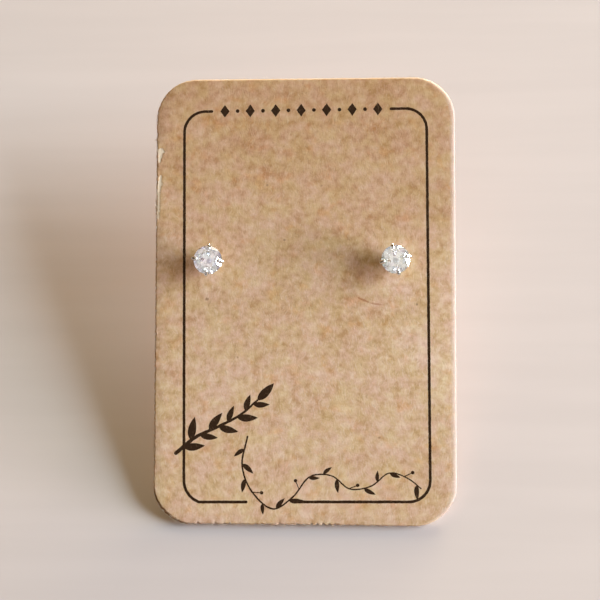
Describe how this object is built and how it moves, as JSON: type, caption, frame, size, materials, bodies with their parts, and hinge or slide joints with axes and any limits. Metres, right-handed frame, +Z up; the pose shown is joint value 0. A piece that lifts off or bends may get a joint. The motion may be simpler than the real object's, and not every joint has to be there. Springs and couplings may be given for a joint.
{
  "type": "pair of stud earrings on a display card",
  "caption": "Claw-set round stone stud earrings pushed through a rounded kraft display card and held behind it by butterfly clutches; the card leans on its lower edge and the post tips.",
  "frame": {"origin": "bottom centre of the whole: midway across and midway front to back, at the height of the surface that the card's lower edge and the post tips rest on", "axes": "+X across the card to the right as its front is seen, +Y back along the surface towards the card's raised upper edge, along which the whole is longest, +Z up, along which it is shortest"},
  "size_m": [0.04, 0.0572, 0.0175],
  "materials": {
    "card": "uncoated kraft card with visible fibres and a thin dark border line",
    "setting_metal": "polished white metal",
    "stone": "polished colourless stone",
    "clutch_metal": "satin steel sheet"
  },
  "bodies": {
    "root": {"card": "card", "left_setting": "setting_metal", "right_setting": "setting_metal", "left_stone": "stone", "right_stone": "stone", "left_clutch": "clutch_metal", "right_clutch": "clutch_metal"}
  },
  "joints": []
}
